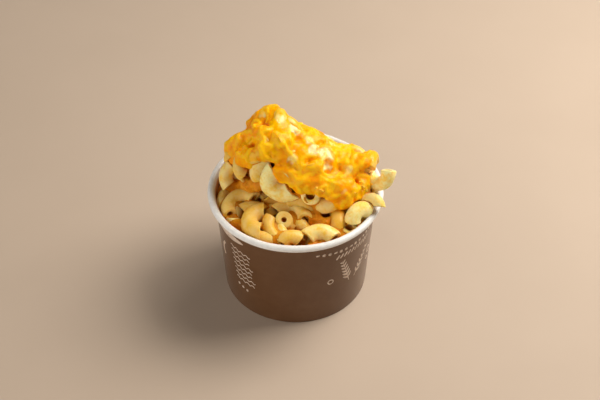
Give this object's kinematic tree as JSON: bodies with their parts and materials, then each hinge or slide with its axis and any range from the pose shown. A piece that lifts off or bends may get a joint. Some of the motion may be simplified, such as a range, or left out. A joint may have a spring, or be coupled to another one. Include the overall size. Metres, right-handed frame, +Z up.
{
  "type": "tub of mac and cheese",
  "caption": "Elbow macaroni in cheese sauce, heaped over the rim of a round paper tub, with cheddar melted over the crown of the heap.",
  "frame": {"origin": "on the table, under the middle of the bounding box; the tub's axis stands 4.1 mm to its left, at x = -0.0041, because an elbow hangs out over the rim on the right", "axes": "+Z up along the tub's axis, -Y towards the front, where the bed of elbows shows below the crown; the heap's peak is left of the middle and its toe runs out to the right, +X"},
  "size_m": [0.0982, 0.09, 0.1022],
  "materials": {
    "tub_paper": "satin printed brown outside, bare white at the rolled rim and inside",
    "tub_board": "plain coated white board",
    "pasta": "moist cooked pasta with a thin coat of cheese sauce",
    "cheddar": "soft oily gloss of melted cheddar"
  },
  "bodies": {
    "root": {"tub_wall": "tub_paper", "tub_base": "tub_board", "macaroni": "pasta", "melted_cheddar": "cheddar"}
  },
  "joints": []
}
